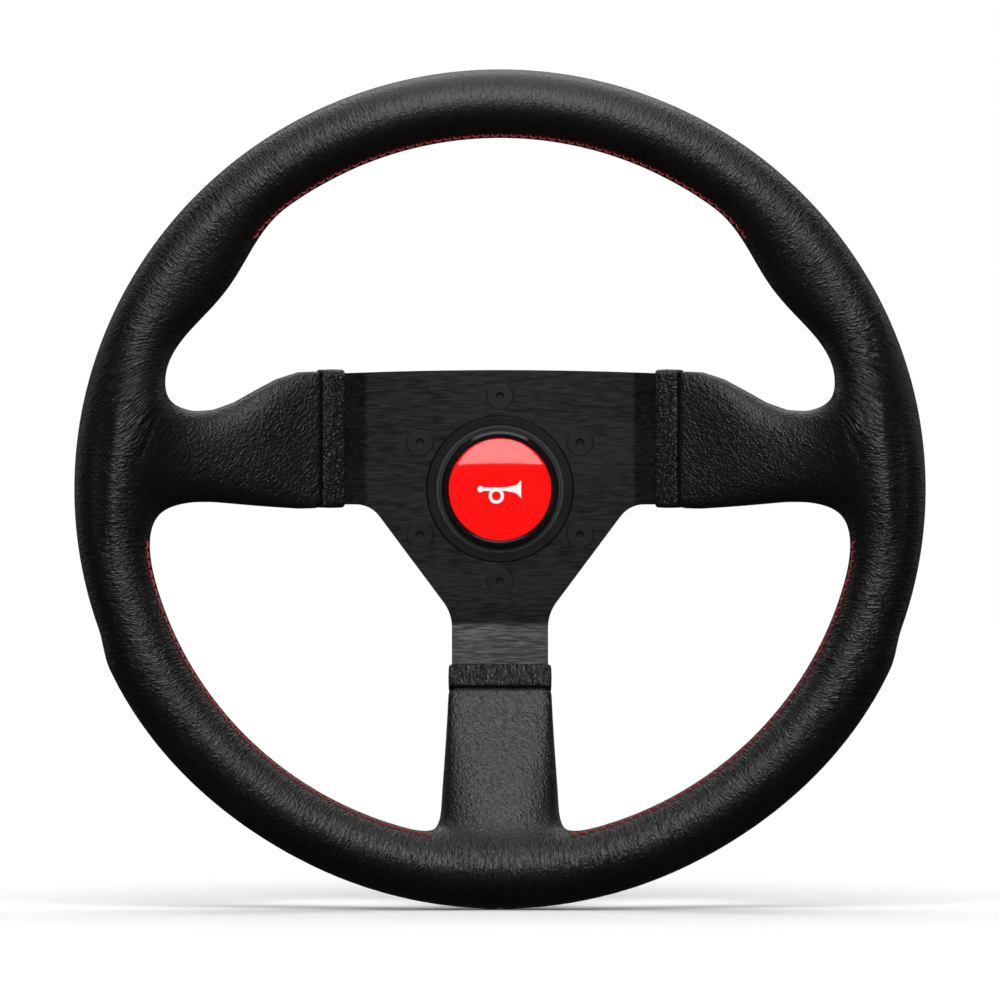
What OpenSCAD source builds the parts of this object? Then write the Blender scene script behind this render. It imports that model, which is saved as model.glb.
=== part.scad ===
// Quick release steering wheel: a leather rim on a bent three-spoke plate, with a horn button
// in its middle and a ball-lock coupling behind it.
// +X is to the driver's right, +Z is up and +Y points away from the driver, along the column.
// The origin is the middle of the coupling's mouth, where the steering column enters.

/* [Rim] */
// Width of the rim across its outside
rim_w = 320; // [316:1:326]
// Height of the rim across its outside
rim_h = 315.5; // [312:0.5:322]
// Grip width, in the plane of the wheel
grip_w = 25.8; // [25:0.2:28]
// Grip depth, along the column
grip_d = 30; // [28:0.5:33]
// How far the thumb rests swell inwards
thumb_swell = 6.3; // [0:0.1:8]
// How far the palm rests swell outwards
palm_swell = 2; // [0:0.1:3]
// Thickness of the leather
leather_t = 1.2; // [0.8:0.1:1.6]

/* [Spoke plate] */
// Thickness of the plate
plate_t = 5; // [4:0.5:6]
// From the plate's back to the middle of the rim, along the column
dish = 39; // [34:1:44]
// Where the side spokes bend, from the axis
side_bend = 51; // [50:0.5:56]
// Where the lower spoke bends, from the axis
lower_bend = 52; // [50:0.5:58]
// Half width of the lower spoke
neck_w = 18.2; // [16:0.2:19]

/* [Fixings] */
// Pitch circle of the six wheel screws
pcd = 70; // [70:0.5:74]
// Nominal diameter of the wheel screws
screw_d = 5; // [4.5:0.5:5]

/* [Horn button] */
// Diameter of the hole in the plate
horn_bore = 55.8; // [55:0.1:57]
// Travel of the button
horn_travel = 2; // [1:0.1:2.4]

/* [Coupling] */
// From the wheel's mounting face to the mouth
hub_len = 53; // [53:0.5:58]
// Diameter of the mouth's bore
mouth_d = 32; // [32:0.1:32.2]
// Diameter of the lock balls
ball_d = 6; // [5.6:0.1:6]
// Travel of the sleeve
sleeve_travel = 6.5; // [5:0.1:6.5]
// Number of teeth in the splined bush
spline_n = 24; // [18:2:30]

/* [Hidden] */
$fn = 64;

// Places along the column
face_y = -hub_len;               // mounting face: back of the plate, front of the hub
front_y = face_y - plate_t;      // front of the plate
mid_y = face_y - plate_t / 2;
rim_y = face_y - dish;

// Rim: its middle line is an ellipse, and its section two half ellipses that meet in the depth
rim_a = (rim_w - grip_w) / 2 - 0.1;
rim_b = (rim_h - grip_w) / 2 - 0.1;
core_r = 146;
core_tube_r = 6;
section_n = 20;
ring_step = 5;
thumb_at = 36;                   // above the horizontal, on each side
thumb_spread = 17;
palm_at = 25;                    // below the horizontal, on each side
palm_rise = 6;                   // the palm rest starts sharply above and fades out below
palm_fade = 38;
panel_end = 10;                  // seam between the upper and lower rim leather
foam_gap = 0.3;
seam_tilt = 22;                  // the seam lies this far to the driver's side of the inside

// Spoke sleeves: stations [distance from axis, low side, high side, front, back, squareness]
side_stations = [
    [68.5, -7.2, 44.6, 4.5, 4.5, 6], [76, -7.3, 44.0, 5.2, 5.2, 5], [84, -6.8, 41.6, 6.3, 6.2, 4],
    [92, -6.3, 37.3, 7.4, 7.2, 3.2], [100, -5.8, 32.8, 8, 7.6, 2.8], [108, -5.3, 29.8, 8.6, 7.8, 2.5],
    [116, -5.2, 29.0, 9.2, 8, 2.3], [120, -5.7, 30.4, 9.5, 8.2, 2.2], [124, -7.6, 34, 9.7, 8.6, 2.1],
    [128, -12, 40, 9.8, 9.4, 2], [132, -17, 43, 9.8, 10.4, 2], [139, -18, 43, 9.4, 12, 2]
];
// The lower sleeve is even: [distance from axis, beyond the plate's side, front, back, squareness]
lower_stations = [
    for (s = [
        [76, 1.2, 4.5, 4.5, 6], [86, 1.7, 5.2, 5.2, 5], [96, 2.3, 6.3, 6.1, 4], [106, 3, 7.6, 7, 3.2],
        [114, 3.8, 8.8, 7.6, 2.7], [119, 5, 9.4, 8, 2.4], [123, 7.4, 9.7, 8.6, 2.2],
        [127, 11.8, 9.8, 9.4, 2], [131, 14.8, 9.8, 10.4, 2], [137, 14.8, 9.4, 12, 2]
    ])
        [s[0], -neck_w - s[1], neck_w + s[1], s[2], s[3], s[4]]
];
band_w = 8.6;
band_t = 9.2;

// Arms of the plate
arm_reach = core_r;
bend_r = 6;

// Horn button
cap_r = 21.95;
disc_r = 19.4;
lip_y = front_y - 4.2;
housing_r = 24.2;
horn_floor_y = face_y + 5;
terminal_x = 9;

// Coupling
mouth_r = mouth_d / 2;
barrel_r = mouth_r + 4.5;
shoulder_y = -29;
bush_y = -33.5;
bush_screw_r = 20.2;
carrier_y = bush_y - 5;
pilot_len = 10;
ball_n = 6;
ball_y = -13.5;
ball_r = ball_d / 2;
ball_centre = mouth_r - ball_r / 2 + ball_r;
ball_lift = 1.6;
ramp = ball_lift / sleeve_travel;
ball_play = 0.08;
screw_r = screw_d / 2;

// ---------- shared shapes ----------

// A 2D outline in (x, z), made solid from y0 to y1
module upright(y0, y1) {
    translate([0, y1, 0]) rotate([90, 0, 0]) linear_extrude(y1 - y0) children();
}

// A 2D profile in (radius, y), turned round the column's axis
module turned() {
    rotate([-90, 0, 0]) rotate_extrude() children();
}

// A cylinder along the column from y0 to y1
module bar(r, y0, y1, r2 = undef) {
    translate([0, y0, 0]) rotate([-90, 0, 0])
        cylinder(r1 = r, r2 = is_undef(r2) ? r : r2, h = y1 - y0);
}

module tube(r_in, r_out, y0, y1) {
    turned() translate([r_in, y0]) square([r_out - r_in, y1 - y0]);
}

module round_about(n, r, from = 90) {
    for (i = [0 : n - 1])
        rotate([0, -from - i * 360 / n, 0]) translate([r, 0, 0]) children();
}

// The three arms share one shape: it is drawn along +X and carried to each place
module on_left() { mirror([1, 0, 0]) children(); }
module on_lower() { rotate([0, 90, 0]) children(); }

function unit(v) = v / norm(v);

// A polygon whose corners are [x, y, radius], with each radius drawn as an arc
function rounded(corners, steps = 8) = [
    for (i = [0 : len(corners) - 1])
        let (
            n = len(corners),
            here = [corners[i][0], corners[i][1]],
            before = corners[(i + n - 1) % n],
            after = corners[(i + 1) % n],
            r = corners[i][2],
            a = unit([before[0], before[1]] - here),
            b = unit([after[0], after[1]] - here),
            half = acos(a * b) / 2,
            centre = here + unit(a + b) * r / sin(half),
            start = here + a * r / tan(half) - centre,
            turn = (a[0] * b[1] - a[1] * b[0] > 0 ? -1 : 1) * (180 - 2 * half)
        )
        each r == 0 ? [here] : [
            for (k = [0 : steps])
                let (t = turn * k / steps)
                centre + [start[0] * cos(t) - start[1] * sin(t),
                          start[0] * sin(t) + start[1] * cos(t)]
        ]
];

// ---------- rim surface ----------

function fade(d, spread) = abs(d) >= spread ? 0 : pow(cos(90 * d / spread), 2);
function side_angle(phi) =
    let (a = (phi % 360 + 360) % 360)
    a > 90 && a < 270 ? 180 - a : (a > 180 ? a - 360 : a);
function half_inside(phi) = grip_w / 2 + thumb_swell * fade(side_angle(phi) - thumb_at, thumb_spread);
function half_outside(phi) =
    let (d = side_angle(phi) + palm_at)
    grip_w / 2 + palm_swell * fade(d, d > 0 ? palm_rise : palm_fade);

// Point of the rim's skin at angle phi round the wheel and psi round the grip, moved in by inset
function rim_point(phi, psi, inset) =
    let (
        across = ((cos(psi) > 0 ? half_outside(phi) : half_inside(phi)) - inset) * cos(psi),
        depth = (grip_d / 2 - inset) * sin(psi)
    )
    [rim_a * cos(phi) + across * cos(phi), rim_y + depth, rim_b * sin(phi) + across * sin(phi)];

function ring_points(phi, inset) =
    [for (k = [0 : section_n - 1]) rim_point(phi, 360 * k / section_n, inset)];

// Triangles between ring i and ring j, of n points each
function skin(i, j, n) = [
    for (k = [0 : n - 1])
        let (a = i * n + k, b = i * n + (k + 1) % n, c = j * n + k, d = j * n + (k + 1) % n)
        each [[a, d, b], [a, c, d]]
];

// A closed solid through rings of n points, each running anticlockwise about the way forward
module through(rings, n, loop = false) {
    count = len(rings);
    ends = loop ? [] : [[for (k = [0 : n - 1]) k], [for (k = [n - 1 : -1 : 0]) (count - 1) * n + k]];
    last = loop ? count - 1 : count - 2;
    polyhedron(
        points = [for (r = rings) each r],
        faces = concat([for (i = [0 : last]) each skin(i, (i + 1) % count, n)], ends)
    );
}

// From angle a to angle b, by way of every ring of the whole rim between them
function ring_angles(a, b) = concat(
    [a], [for (i = [floor(a / ring_step) + 1 : ceil(b / ring_step) - 1]) i * ring_step], [b]
);

// The rim as a solid bar from angle a to angle b
module rim_bar(a, b, inset) {
    through([for (phi = ring_angles(a, b)) ring_points(phi, inset)], section_n);
}

module rim_loop(inset) {
    steps = 360 / ring_step;
    through([for (i = [0 : steps - 1]) ring_points(i * ring_step, inset)], section_n, loop = true);
}

// ---------- spoke sleeves ----------

function arm_angle(bend) = atan((mid_y - rim_y) / (arm_reach - bend));
function arm_y(u, bend) = mid_y - (u - bend) * tan(arm_angle(bend));

// Section of a sleeve: a superellipse square to the arm, moved in by inset
function sleeve_ring(s, bend, inset) =
    let (a = arm_angle(bend), mid = (s[2] + s[1]) / 2, high = (s[2] - s[1]) / 2 - inset)
    [for (k = [0 : section_n - 1])
        let (
            t = 360 * k / section_n,
            v = mid + high * sign(cos(t)) * pow(abs(cos(t)), 2 / s[5]),
            w = (sin(t) > 0 ? s[4] - inset : inset - s[3]) * pow(abs(sin(t)), 2 / s[5])
        )
        [s[0] + w * sin(a), arm_y(s[0], bend) + w * cos(a), v]
    ];

module sleeve_bar(stations, bend, inset) {
    rings = [for (s = stations) sleeve_ring(s, bend, inset)];
    through([for (i = [len(rings) - 1 : -1 : 0]) rings[i]], section_n);
}

// The sleeve's skin alone, open at both ends
module sleeve_shell(stations, bend) {
    first = stations[0];
    last = stations[len(stations) - 1];
    opened = concat(
        [[first[0] - 1, first[1], first[2], first[3], first[4], first[5]]], stations,
        [[last[0] + 1, last[1], last[2], last[3], last[4], last[5]]]
    );
    difference() {
        sleeve_bar(stations, bend, 0);
        sleeve_bar(opened, bend, leather_t);
    }
}

// ---------- frame ----------

// Side view of the plate's middle and one arm, as (distance from axis, y)
module bent_strip(bend) {
    a = arm_angle(bend);
    shift = plate_t / 2 * tan(a / 2);
    tip = [arm_reach, arm_y(arm_reach, bend)];
    across = plate_t / 2 * [sin(a), cos(a)];
    polygon(rounded([
        [-1, face_y, 0], [bend + shift, face_y, bend_r + plate_t],
        [tip[0] + across[0], tip[1] + across[1], 0], [tip[0] - across[0], tip[1] - across[1], 0],
        [bend - shift, front_y, bend_r], [-1, front_y, 0]
    ]));
}

// The strip runs across the whole height of the side arms, and across the lower arm
module bent_sheet() {
    for (side = [0, 1]) mirror([side, 0, 0])
        translate([0, 0, -30]) linear_extrude(80) bent_strip(side_bend);
    on_lower() translate([0, 0, -49]) linear_extrude(98) bent_strip(lower_bend);
}

// Front view of the plate
module plate_outline() {
    top = 45.1;
    drop = 1.3;
    shoulder = 61;
    lower_side = -5.8;
    right = rounded([
        [0, -arm_reach, 0], [14, -arm_reach, 0], [14.5, -92, 0], [neck_w - 0.9, -76, 0],
        [neck_w - 0.9, -72, 0], [neck_w, -70, 0], [neck_w, -47.1, 16], [49, lower_side, 11],
        [62.5, lower_side, 0], [65.5, lower_side + 1.2, 0], [74, lower_side + 1.2, 0], [90, -1, 10],
        [arm_reach, 2, 0], [arm_reach, 20, 0], [108, 21, 10], [84, 36, 8], [73, 41.6, 4], [65, 42.4, 0],
        for (x = [shoulder : -10 : 1]) [x, top - drop * pow(x / shoulder, 2), 0],
        [0, top, 0]
    ]);
    polygon(concat(right, [for (i = [len(right) - 2 : -1 : 1]) [-right[i][0], right[i][1]]]));
}

module rim_core() {
    color("#8a8d90") translate([0, rim_y, 0]) turned() translate([core_r, 0]) difference() {
        circle(r = core_tube_r);
        circle(r = core_tube_r - 1.5);
    }
}

// Room for the core: its gap allows for being drawn with n by m flats
module core_room(gap = 0.05, n = 64, m = 64) {
    translate([0, rim_y, 0]) rotate([-90, 0, 0]) rotate_extrude($fn = n)
        translate([core_r, 0]) circle(r = core_tube_r + gap, $fn = m);
}

module spoke_plate() {
    countersink = screw_r * 2 + 0.15;
    color("#1d1d1e") difference() {
        intersection() {
            bent_sheet();
            upright(rim_y - 20, face_y + 1) plate_outline();
        }
        bar(horn_bore / 2, front_y - 1, face_y + 1);
        round_about(6, pcd / 2) {
            bar(screw_r + 0.25, front_y - 1, face_y + 1);
            bar(countersink + 1, front_y - 1, front_y + countersink - screw_r, screw_r);
        }
        core_room();
    }
}

module sleeve_foam(stations, bend) {
    sleeve_bar(stations, bend, leather_t + foam_gap);
}

module rim_foam() {
    slot = plate_t + 0.2;
    color("#2b2b2b") difference() {
        union() {
            rim_loop(leather_t + foam_gap);
            sleeve_foam(side_stations, side_bend);
            on_left() sleeve_foam(side_stations, side_bend);
            on_lower() sleeve_foam(lower_stations, lower_bend);
        }
        core_room(0.4, 72, 16);
        for (side = [0, 1]) mirror([side, 0, 0]) arm_slot(side_bend, -9, 46, slot);
        on_lower() arm_slot(lower_bend, -neck_w - 0.5, neck_w + 0.5, slot);
    }
}

// Room for an arm inside the foam, from low to high across the arm
module arm_slot(bend, low, high, thick) {
    a = arm_angle(bend);
    translate([bend, mid_y, 0]) rotate([0, 0, -a])
        translate([0, -thick / 2, low]) cube([(arm_reach - bend) / cos(a), thick, high - low]);
}

// ---------- leather ----------

module rim_panel(a, b) {
    color("#1b1b1c") difference() {
        rim_bar(a, b, 0);
        rim_bar(a - 2, b + 2, leather_t);
        children();
    }
}

module side_window() {
    sleeve_bar([for (s = side_stations) if (s[0] > 100) s], side_bend, leather_t);
}

module lower_window() {
    sleeve_bar([for (s = lower_stations) if (s[0] > 100) s], lower_bend, leather_t);
}

module rim_leather_upper() {
    rim_panel(panel_end + 0.1, 180 - panel_end - 0.1) {
        side_window();
        on_left() side_window();
    }
}

module rim_leather_lower_left() {
    rim_panel(180 - panel_end, 269.9) {
        on_left() side_window();
        on_lower() lower_window();
    }
}

module rim_leather_lower_right() {
    rim_panel(270.1, 360 + panel_end) {
        side_window();
        on_lower() lower_window();
    }
}

module spoke_leather_right() {
    color("#1b1b1c") difference() {
        sleeve_shell(side_stations, side_bend);
        rim_bar(-20, 35, -foam_gap);
    }
}

module spoke_leather_left() { on_left() spoke_leather_right(); }

module spoke_leather_lower() {
    color("#1b1b1c") difference() {
        on_lower() sleeve_shell(lower_stations, lower_bend);
        rim_bar(245, 295, -foam_gap);
    }
}

// A strip wrapped round an arm at the end of its sleeve, from low to high across the arm
module end_band(bend, from, low, high) {
    a = arm_angle(bend);
    r = 2;
    color("#202021") translate([bend, mid_y, 0]) rotate([0, 0, -a])
        translate([(from - bend) / cos(a), 0, 0]) difference() {
            rotate([90, 0, 90]) linear_extrude(band_w / cos(a)) polygon(rounded([
                [-band_t / 2, low, r], [band_t / 2, low, r], [band_t / 2, high, r], [-band_t / 2, high, r]
            ]));
            translate([-1, -plate_t / 2, low + leather_t])
                cube([band_w + 3, plate_t, high - low - 2 * leather_t]);
        }
}

module end_band_right() { end_band(side_bend, side_stations[0][0] - band_w, -7, 45.2); }
module end_band_left() { on_left() end_band_right(); }
module end_band_lower() {
    on_lower() end_band(lower_bend, lower_stations[0][0] - band_w, -neck_w - 1.2, neck_w + 1.2);
}

// Thread along the inside of the rim, a little to the driver's side
module stitching(a, b) {
    r = 0.55;
    sides = 8;
    lift = 0.7;
    steps = ceil((b - a) / ring_step);
    color("#b01c22") through([
        for (i = [0 : steps])
            let (
                phi = a + (b - a) * i / steps,
                middle = rim_point(phi, 180 + seam_tilt, -lift),
                out = [cos(phi), 0, sin(phi)]
            )
            [for (k = [0 : sides - 1])
                middle + r * (out * cos(360 * k / sides) + [0, sin(360 * k / sides), 0])]
    ], sides);
}

module stitching_upper() { stitching(53, 127); }
module stitching_lower_left() { stitching(194, 256); }
module stitching_lower_right() { stitching(284, 346); }

// ---------- fixings ----------

module wheel_screws() {
    head_r = screw_r * 2;
    color("#2a2a2b") round_about(6, pcd / 2) difference() {
        union() {
            bar(head_r, front_y, front_y + head_r - screw_r + 0.1, screw_r - 0.1);
            bar(screw_r - 0.1, front_y + 1, front_y + 12);
        }
        translate([0, front_y - 1, 0]) rotate([-90, 0, 0]) cylinder(r = 1.75, h = 3, $fn = 6);
    }
}

// ---------- horn button ----------

module horn_ring() {
    outer = horn_bore / 2 - 0.1;
    color("#161617") turned() polygon([
        [housing_r + 0.1, front_y - 0.2], [outer - 0.4, front_y - 0.2], [outer, front_y + 0.2],
        [outer, face_y], [29.7, face_y], [29.7, face_y + 1.4], [housing_r + 0.1, face_y + 1.4]
    ]);
}

module horn_housing() {
    color("#161617") difference() {
        turned() polygon([
            [cap_r + 0.2, front_y + 0.8], [cap_r + 1.1, front_y + 0.8], [cap_r + 1.1, front_y],
            [housing_r, front_y], [housing_r, face_y + 1.5],
            [housing_r + 1, face_y + 1.8], [housing_r + 1, face_y + 2.6], [housing_r, face_y + 3.4],
            [housing_r, horn_floor_y + 2], [0, horn_floor_y + 2], [0, horn_floor_y],
            [cap_r + 0.95, horn_floor_y], [cap_r + 0.95, front_y + 1.6], [cap_r + 0.2, front_y + 1.6]
        ]);
        for (side = [-1, 1]) translate([side * terminal_x - 0.5, horn_floor_y - 1, -3.3])
            cube([1, 4, 6.6]);
    }
}

module horn_cap() {
    boss_r = 6;
    skin_y = lip_y + 3.8;
    color("#0c0c0d") turned() polygon([
        [0, lip_y + 1.8], [disc_r + 0.1, lip_y + 1.8], [disc_r + 0.1, lip_y + 0.7],
        [disc_r + 0.8, lip_y], [cap_r - 0.9, lip_y], [cap_r, lip_y + 0.9],
        [cap_r, front_y + 1.65], [cap_r + 0.65, front_y + 1.65], [cap_r + 0.65, front_y + 3],
        [cap_r, front_y + 3], [cap_r, horn_floor_y - 4], [cap_r - 1.2, horn_floor_y - 4],
        [cap_r - 1.2, skin_y], [boss_r, skin_y], [boss_r, face_y], [0, face_y]
    ]);
}

// A posthorn: bell, tube, mouthpiece and one loop
module posthorn() {
    polygon([[2.4, 0.7], [6.2, 1.5], [8, 3.4], [8, -3.4], [6.2, -1.5], [2.4, -0.7]]);
    translate([-7, -0.65]) square([10, 1.3]);
    translate([-7.4, 0]) circle(r = 1.15, $fn = 24);
    translate([-1.4, -2.55]) difference() {
        circle(r = 2.9, $fn = 36);
        circle(r = 1.7, $fn = 36);
    }
}

module horn_disc() {
    color("#d8130f") difference() {
        bar(disc_r, lip_y + 1.3, lip_y + 1.8);
        upright(lip_y + 1, lip_y + 1.6) posthorn();
    }
}

module horn_symbol() {
    color("#d9d9d9") upright(lip_y + 1.3, lip_y + 1.6) posthorn();
}

module horn_lens() {
    rise = 2.1;
    dome_r = (disc_r * disc_r + rise * rise) / (2 * rise);
    edge = asin(disc_r / dome_r);
    color("#f2dede", 0.35) turned() polygon([
        for (k = [0 : 12])
            let (t = edge * k / 12)
            [dome_r * sin(t), lip_y - 1.4 + dome_r * (1 - cos(t))],
        [disc_r, lip_y + 1.3], [0, lip_y + 1.3]
    ]);
}

// A wire spring from y0 to y1, wound at the mean radius r
module coil(r, wire_r, y0, y1, turns, sides = 6, per_turn = 16) {
    steps = turns * per_turn;
    low = y0 + wire_r;
    pitch = (y1 - y0 - 2 * wire_r) / steps;
    through([
        for (i = [0 : steps])
            let (t = 360 * i / per_turn, out = [cos(t), 0, -sin(t)], c = r * out + [0, low + i * pitch, 0])
            [for (k = [0 : sides - 1])
                c + wire_r * (out * cos(360 * k / sides) - [0, sin(360 * k / sides), 0])]
    ], sides);
}

module horn_spring() {
    color("#b9bcc0") coil(12.8, 0.5, lip_y + 3.85, horn_floor_y - 0.05, 4);
}

module horn_moving_contact() {
    color("#c39a3f") bar(9.5, face_y, face_y + 0.6);
}

module horn_fixed_contact() {
    top_y = face_y + 0.6 + horn_travel + 0.05;
    color("#c39a3f") translate([0, 0, -2]) {
        translate([-5, top_y, 0]) cube([10, 0.5, 4]);
        for (x = [-5, 4.5]) translate([x, top_y, 0]) cube([0.5, horn_floor_y - top_y, 4]);
        translate([4.5, horn_floor_y - 0.5, 0]) cube([terminal_x - 4.9, 0.5, 4]);
    }
}

module horn_terminals() {
    color("#c9ccd0") for (side = [-1, 1])
        translate([side * terminal_x - 0.4, horn_floor_y - 0.6, -3.15]) cube([0.8, 9.4, 6.3]);
}

module lead_connectors() {
    color("#7d1216") for (side = [-1, 1]) difference() {
        translate([side * terminal_x - 1.4, horn_floor_y + 2.6, -3.9]) cube([2.8, 6.6, 7.8]);
        translate([side * terminal_x - 0.4, horn_floor_y, -3.15]) cube([0.8, 8.8, 6.3]);
    }
}

// An insulated lead through a list of points
module lead(route, r) {
    sides = 8;
    last = len(route) - 1;
    through([
        for (i = [0 : last])
            let (
                along = unit(route[min(i + 1, last)] - route[max(i - 1, 0)]),
                across = unit(cross(along, [0, 1, 0])),
                up = cross(along, across)
            )
            [for (k = [0 : sides - 1])
                route[i] + r * (across * cos(360 * k / sides) + up * sin(360 * k / sides))]
    ], sides);
}

lead_y = horn_floor_y + 5.8;
tag_y = carrier_y - 0.5;
live_route = [
    [9, lead_y, -3.9], [9, lead_y, -5.6], [8.4, lead_y + 0.3, -7.4], [7, lead_y + 0.9, -8.4],
    [5, lead_y + 1.5, -8.2], [3.4, lead_y + 2, -7], [2.4, lead_y + 2.3, -5.4], [2, tag_y - 0.9, -3.8]
];
earth_route = [
    [-9, lead_y, -3.9], [-9, lead_y, -5.6], [-10.6, lead_y + 0.2, -6.8], [-12.8, lead_y + 0.6, -6.8],
    [-15, lead_y + 1.4, -6], [-17.3, lead_y + 2.6, -5.2], [-19.6, bush_y - 4.5, -4.9],
    [-21, bush_y - 3.95, -4.4]
];

module live_lead() { color("#8f1518") lead(live_route, 0.9); }
module earth_lead() { color("#151516") lead(earth_route, 0.9); }

// ---------- coupling ----------

module hub_body() {
    color("#232425") difference() {
        turned() polygon([
            [30, face_y], [39.2, face_y], [40, face_y + 0.8], [40, face_y + 7.2], [39.2, face_y + 8],
            [36.5, face_y + 8], [31.5, face_y + 13], [31, shoulder_y - 1], [30, shoulder_y],
            [barrel_r, shoulder_y], [barrel_r, -2.45], [barrel_r - 1.2, -2.45], [barrel_r - 1.2, -1.15],
            [barrel_r, -1.15], [barrel_r, -0.6], [barrel_r - 0.6, 0], [mouth_r, 0], [mouth_r, -pilot_len],
            [mouth_r + 0.4, -pilot_len], [mouth_r + 0.4, -17.5], [17.5, -17.5], [17.5, bush_y],
            [27, bush_y], [27, face_y + 1.5], [30, face_y + 1.5]
        ]);
        round_about(6, pcd / 2) bar(screw_r, face_y - 1, face_y + 9);
        round_about(6, 43.5, 60) bar(7, face_y - 1, face_y + 9);
        round_about(3, bush_screw_r) bar(1.5, bush_y - 1, bush_y + 4);
        round_about(ball_n, ball_centre) translate([0, ball_y, 0]) {
            sphere(r = ball_r + ball_play);
            rotate([0, 90, 0]) cylinder(r = ball_r + ball_play, h = 5);
        }
    }
}

module spline_bush() {
    tip_r = 14;
    root_r = 15.6;
    pitch = 360 / spline_n;
    color("#9a9da1") difference() {
        union() {
            bar(23, bush_y - 2.5, bush_y);
            bar(17.45, bush_y - 1, -17.6);
        }
        upright(bush_y - 4, -17) polygon([
            for (i = [0 : spline_n - 1])
                for (c = [[tip_r, 0.12], [root_r, 0.2], [root_r, 0.68], [tip_r, 0.76]])
                    c[0] * [cos(pitch * (i + c[1])), sin(pitch * (i + c[1]))]
        ]);
        round_about(3, bush_screw_r) bar(1.6, bush_y - 4, bush_y + 1);
    }
}

module bush_screws() {
    color("#3a3b3d") round_about(3, bush_screw_r) difference() {
        union() {
            bar(2.7, bush_y - 4.9, bush_y - 3);
            bar(1.45, bush_y - 4, bush_y + 3.5);
        }
        translate([0, bush_y - 6, 0]) rotate([-90, 0, 0]) cylinder(r = 1.15, h = 2.2, $fn = 6);
    }
}

// The earth lead's tag sits under the lower left screw, and the other two have a washer
module earth_tag() {
    color("#c9ccd0") rotate([0, 150, 0]) translate([bush_screw_r, bush_y - 3, 0]) difference() {
        union() {
            bar(3, 0, 0.5);
            translate([-1.3, 0, -8]) cube([2.6, 0.5, 8]);
        }
        bar(1.55, -1, 1);
    }
}

module bush_washers() {
    color("#c9ccd0") for (a = [90, -30]) rotate([0, -a, 0])
        translate([bush_screw_r, 0, 0]) tube(1.55, 3, bush_y - 3, bush_y - 2.5);
}

module contact_carrier() {
    color("#c8b79a") turned() polygon([
        [1.6, carrier_y], [16.4, carrier_y], [16.4, carrier_y + 2.5], [13.9, carrier_y + 2.5],
        [13.9, carrier_y + 6.5], [2.6, carrier_y + 6.5], [2.6, carrier_y + 1], [1.6, carrier_y + 1]
    ]);
}

module contact_tag() {
    color("#c39a3f") tube(1.6, 4.6, tag_y, carrier_y);
}

module contact_retainer() {
    color("#c39a3f") tube(1.6, 2.6, carrier_y + 5.5, carrier_y + 6.5);
}

module contact_pin() {
    y = carrier_y;
    color("#d2ab52") turned() polygon([
        [0, y - 2.9], [1.5, y - 2.9], [1.5, y + 4.5], [2.4, y + 4.5], [2.4, y + 5.5], [1.5, y + 5.5],
        [1.5, y + 9.9], [0.9, y + 10.5], [0, y + 10.5]
    ]);
}

module contact_spring() {
    color("#b9bcc0") coil(2.02, 0.22, carrier_y + 1.05, carrier_y + 4.45, 3);
}

module release_sleeve() {
    land_r = barrel_r + 0.1;
    ramp_r = ball_centre + ball_r * sqrt(1 + ramp * ramp) + 0.02;
    ramp_end = ball_y + sleeve_travel;
    open_r = ramp_r + ball_lift;
    grip_r = 27.5;
    flange_r = 33;
    color("#a8181c") difference() {
        turned() polygon([
            [23.8, -22.4], [flange_r - 1, -22.4], [flange_r, -21.4], [flange_r, -18.6], [flange_r - 1.6, -17],
            [grip_r, -16], [grip_r, -3.6], [grip_r - 1, -2.6], [land_r, -2.6], [land_r, -4.1],
            [open_r + 0.1, -4.1], [open_r + 0.1, ramp_end], [open_r, ramp_end], [ramp_r, ball_y],
            [land_r, ball_y - 0.1], [land_r, -16], [23.8, -16]
        ]);
        round_about(18, flange_r + 2) bar(3.6, -23, -15.5);
        for (y = [-13.5 : 2.5 : -6]) tube(grip_r - 0.5, grip_r + 1, y, y + 1);
    }
}

module sleeve_spring() {
    color("#b9bcc0") coil(22.1, 0.7, shoulder_y + 0.05, -16.05, 4, 6, 20);
}

module sleeve_circlip() {
    color("#6d7074") difference() {
        tube(barrel_r - 1.1, barrel_r + 2.4, -2.4, -1.2);
        translate([-4, -4, 15]) cube([8, 4, 12]);
    }
}

module lock_ball(i) {
    color("#c4c8cc") rotate([0, -90 - (i - 1) * 360 / ball_n, 0])
        translate([ball_centre, ball_y, 0]) sphere(r = ball_r);
}

spoke_plate();
rim_core();
rim_foam();
rim_leather_upper();
rim_leather_lower_left();
rim_leather_lower_right();
spoke_leather_left();
spoke_leather_right();
spoke_leather_lower();
end_band_left();
end_band_right();
end_band_lower();
stitching_upper();
stitching_lower_left();
stitching_lower_right();
wheel_screws();
horn_ring();
horn_housing();
horn_cap();
horn_disc();
horn_symbol();
horn_lens();
horn_spring();
horn_moving_contact();
horn_fixed_contact();
horn_terminals();
lead_connectors();
live_lead();
earth_lead();
earth_tag();
bush_washers();
hub_body();
spline_bush();
bush_screws();
contact_carrier();
contact_tag();
contact_retainer();
contact_pin();
contact_spring();
release_sleeve();
sleeve_spring();
sleeve_circlip();
lock_ball(1);  // lock_ball_1
lock_ball(2);  // lock_ball_2
lock_ball(3);  // lock_ball_3
lock_ball(4);  // lock_ball_4
lock_ball(5);  // lock_ball_5
lock_ball(6);  // lock_ball_6
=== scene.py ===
import math

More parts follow.
